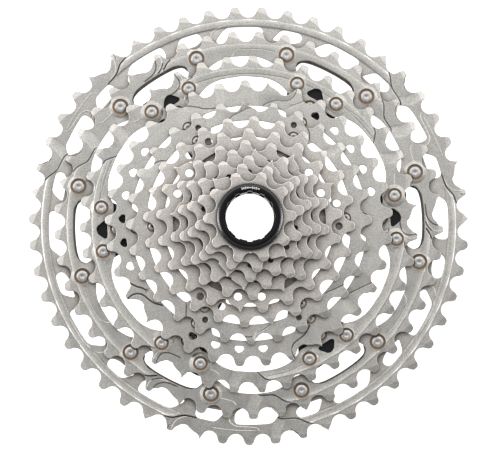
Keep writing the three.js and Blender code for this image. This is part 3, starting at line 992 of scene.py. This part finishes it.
LOCK = {"flange_r": 15.8, "flange": 2.4, "bore_r": 11.35, "sleeve_bore_r": 11.25, "sleeve_r": 12.7,
        "notch_r": 11.95, "notch_depth": 7.0, "notches": 12, "notch_half_angle": 5.6, "mark_r": 13.5}
KNURL = {"teeth": 120, "depth": 0.2}
# Each pale bar's angle, width and height
MARKS = [(106, 0.45, 1.1), (102.5, 0.9, 0.8), (98.5, 0.5, 1.2), (94.5, 1.0, 0.7), (89.5, 1.2, 0.5),
         (85.0, 0.5, 1.1), (81.0, 0.9, 0.8), (77.0, 0.45, 1.2), (72.5, 1.0, 0.6)]


def lock_ring():
    """A sleeve and flange turned as rows, with a knurled rim and tool notches cut into the bore."""
    low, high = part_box("lock_ring")
    top = high.z / MM
    bottom = low.z / MM
    flange = top - LOCK["flange"]
    flange_r, bore_r, sleeve_r = LOCK["flange_r"], LOCK["bore_r"], LOCK["sleeve_r"]
    notch_floor = top - LOCK["notch_depth"]
    steps = 720
    angle = np.arange(steps) * 360 / steps
    knurl = KNURL["depth"] * (np.abs((angle * KNURL["teeth"] / 360) % 1 - 0.5) * 4 - 1)
    spacing = 360 / LOCK["notches"]
    notch = np.abs((angle + spacing / 2) % spacing - spacing / 2) < LOCK["notch_half_angle"]
    # Each row's radius and height, and whether it is knurled and notched
    rows = [
        (LOCK["sleeve_bore_r"], bottom, 0, 0), (sleeve_r - 0.3, bottom, 0, 0),
        (sleeve_r, bottom + 0.3, 0, 0), (sleeve_r, flange, 0, 0),
        (flange_r - 0.3, flange, 0, 0), (flange_r - 0.2, flange + 0.15, 1, 0),
        (flange_r - 0.2, top - 1.25, 1, 0), (flange_r - 0.4, top - 1.1, 0, 0),
        (flange_r - 1.42, top - 0.26, 0, 0), (flange_r - 1.5, top - 0.14, 0, 0),
        (flange_r - 1.7, top - 0.05, 0, 0), (12.5, top - 0.03, 0, 0), (12.2, top - 0.15, 0, 1),
        (bore_r + 0.15, top - 0.15, 0, 1), (bore_r, top - 0.35, 0, 1), (bore_r, notch_floor, 0, 1),
        (LOCK["sleeve_bore_r"], notch_floor - 0.05, 0, 0)]
    vertices = []
    for r, z, knurled, notched in rows:
        ring_r = r + knurl * knurled
        if notched:
            ring_r = np.where(notch, np.maximum(ring_r, LOCK["notch_r"]), ring_r)
        p = polar(angle, ring_r)
        vertices += [(q.real * MM, q.imag * MM, z * MM) for q in p]
    faces = []
    count = len(rows)
    for i in range(count):
        j = (i + 1) % count
        for k in range(steps):
            n = (k + 1) % steps
            faces.append((i * steps + k, i * steps + n, j * steps + n, j * steps + k))
    piece = new_object("threaded_ring", vertices, faces, RING_BLACK, 30)
    piece.data.materials.append(CHAMFER_BLACK)
    chamfer_row = 7
    for polygon in piece.data.polygons[chamfer_row * steps:(chamfer_row + 1) * steps]:
        polygon.material_index = 1
    return piece


def ring_marks():
    """A row of short pale bars on the face of the lock ring."""
    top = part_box("lock_ring")[1].z / MM
    vertices, faces = [], []
    for middle, width, height in MARKS:
        start = len(vertices)
        for z in (top - 0.04, top):
            for side, up in ((-1, -1), (1, -1), (1, 1), (-1, 1)):
                p = offset_by(middle, LOCK["mark_r"] + up * height / 2, side * width / 2)
                vertices.append((p.real * MM, p.imag * MM, z * MM))
        for face in ((3, 2, 1, 0), (4, 5, 6, 7), (0, 1, 5, 4), (1, 2, 6, 5), (2, 3, 7, 6), (3, 0, 4, 7)):
            faces.append([start + i for i in face])
    return new_object("ring_marks", vertices, faces, MARK_WHITE)


ring = lock_ring()
marks = ring_marks()
marks.parent = ring
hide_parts("lock_ring")
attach(ring, "ring")


# Radii, heights and, for an arm and its rib, half widths at each radius
CARRIER = {"hub_r": 23.0, "arm_low": 5.7, "arm_high": 6.9, "rib_low": 3.9, "rib_high": 5.9,
           "arm": [(20, 7), (35, 6.3), (50, 6), (58, 9), (62, 12), (68, 15), (73, 14.6), (75, 12.6)],
           "rib": [(19, 4.5), (40, 3.8), (59, 3)]}


def level_plate(name, outline, low, high):
    """A plate with a flat top and an even tone, with no painted light or shade."""
    def top_of(points):
        return np.full(len(points), high)

    def tone_of(points):
        return np.ones(len(points)), np.zeros(len(points))

    return plate(name, outline, [], low, top_of, tone_of, [], [], ARM_BLACK)


def carrier():
    """Hub tube and six arms on ribs, with eased edges."""
    low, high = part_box("carrier")
    hub = tube("carrier_hub", FREEHUB_R, CARRIER["hub_r"], low.z / MM, high.z / MM, ARM_BLACK, 0.3)
    for k, a in enumerate(arms()):
        left = [offset_by(a, r, half) for r, half in CARRIER["arm"]]
        right = [offset_by(a, r, -half) for r, half in CARRIER["arm"]][::-1]
        outline = rounded(right + left, 2.0)
        arm = level_plate(f"carrier_arm_{k + 1}", outline, CARRIER["arm_low"], CARRIER["arm_high"])
        right = [offset_by(a, r, -half) for r, half in CARRIER["rib"]]
        left = [offset_by(a, r, half) for r, half in CARRIER["rib"]][::-1]
        outline = rounded(right + left, 1.0)
        rib = level_plate(f"carrier_rib_{k + 1}", outline, CARRIER["rib_low"], CARRIER["rib_high"])
        arm.parent = hub
        rib.parent = hub
    return hub


carrier_piece = carrier()
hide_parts("carrier")
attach(carrier_piece, "stack")


# ---------------------------------------------------------------- floor, light, camera

WORLD = {"zenith": 0.37, "ring": 0.96, "near_side": 0.36, "bright_side": (-0.30, 0.95, 0.0)}


def studio():
    bpy.ops.mesh.primitive_plane_add(size=8, location=(0, 0, -0.0006))
    floor = bpy.context.object
    floor.name = "studio_floor"
    m = Surface("studio_floor")
    m.shader.inputs["Base Color"].default_value = (0.9, 0.9, 0.9, 1)
    m.shader.inputs["Roughness"].default_value = 0.9
    m.shader.inputs["Emission Color"].default_value = (1, 1, 1, 1)
    m.shader.inputs["Emission Strength"].default_value = 1.2
    floor.data.materials.append(m.material)


def world_light():
    """A pale surround, dim overhead and brightest on the +Y side."""
    world = bpy.data.worlds.new("studio")
    bpy.context.scene.world = world
    world.use_nodes = True
    m = Nodes(world.node_tree)
    place = m.add("ShaderNodeTexCoord").outputs["Generated"]
    split = m.add("ShaderNodeSeparateXYZ")
    m.link(place, split.inputs[0])
    smooth = {"interpolation_type": "SMOOTHSTEP"}
    low_ring = m.ranged(split.outputs["Z"], 0.70, 1.0, WORLD["ring"], WORLD["zenith"], **smooth)
    lean = m.add("ShaderNodeVectorMath", operation="DOT_PRODUCT")
    lean.inputs[1].default_value = WORLD["bright_side"]
    m.link(place, lean.inputs[0])
    side = m.ranged(lean.outputs["Value"], -0.75, 0.35, WORLD["near_side"], 1.0, **smooth)
    background = m.tree.nodes["Background"]
    m.link(m.multiplied(low_ring, side), background.inputs["Strength"])
    background.inputs["Color"].default_value = (1.0, 0.985, 0.965, 1)


def softbox(name, location, target, size, energy, only=None):
    """An area light; with a piece given, it lights only that piece."""
    data = bpy.data.lights.new(name, "AREA")
    data.shape = "RECTANGLE"
    data.size, data.size_y = size
    data.energy = energy
    box = linked(name, data)
    box.location = location
    box.rotation_euler = (Vector(target) - Vector(location)).to_track_quat("-Z", "Y").to_euler()
    box.visible_camera = False
    if only:
        lit = bpy.data.collections.new(name)
        lit.objects.link(only)
        box.light_linking.receiver_collection = lit


CAMERA = {"distance": 2.80, "span": 0.2369, "tilt_down": 5.43, "tilt_left": 0.755, "aim": (0.00059, 0.00003)}


def camera():
    data = bpy.data.cameras.new("studio_camera")
    data.sensor_width = 36
    data.lens = 36 * CAMERA["distance"] / CAMERA["span"]
    data.clip_end = 20
    eye = linked("studio_camera", data)
    aim = Vector((*CAMERA["aim"], 0.0018))
    tilt_left = math.radians(CAMERA["tilt_left"])
    tilt_down = math.radians(CAMERA["tilt_down"])
    away = Vector((-math.tan(tilt_left), -math.tan(tilt_down), 1))
    eye.location = aim + away.normalized() * CAMERA["distance"]
    right = Vector((0, 1, 0)).cross(away).normalized()
    up = away.cross(right).normalized()
    turn = Matrix((right, up, away.normalized())).transposed()
    eye.rotation_euler = turn.to_euler()
    bpy.context.scene.camera = eye


studio()
world_light()
softbox("overhead_box", (0.0, 0.33, 0.5), (0, 0.33, 0), (1.2, 0.6), 0.92)
softbox("left_card", (-0.7, -0.02, 0.17), (0, 0, 0.04), (0.44, 0.18), 5.0, ring)
softbox("right_card", (0.7, -0.02, 0.17), (0, 0, 0.04), (0.44, 0.18), 5.0, ring)
softbox("left_fill", (-0.7, 0.1, 0.2), (0, 0, 0), (0.3, 0.3), 0.5)
softbox("right_fill", (0.7, 0.1, 0.2), (0, 0, 0), (0.3, 0.3), 0.3)
camera()
bpy.context.scene.view_settings.view_transform = "Standard"
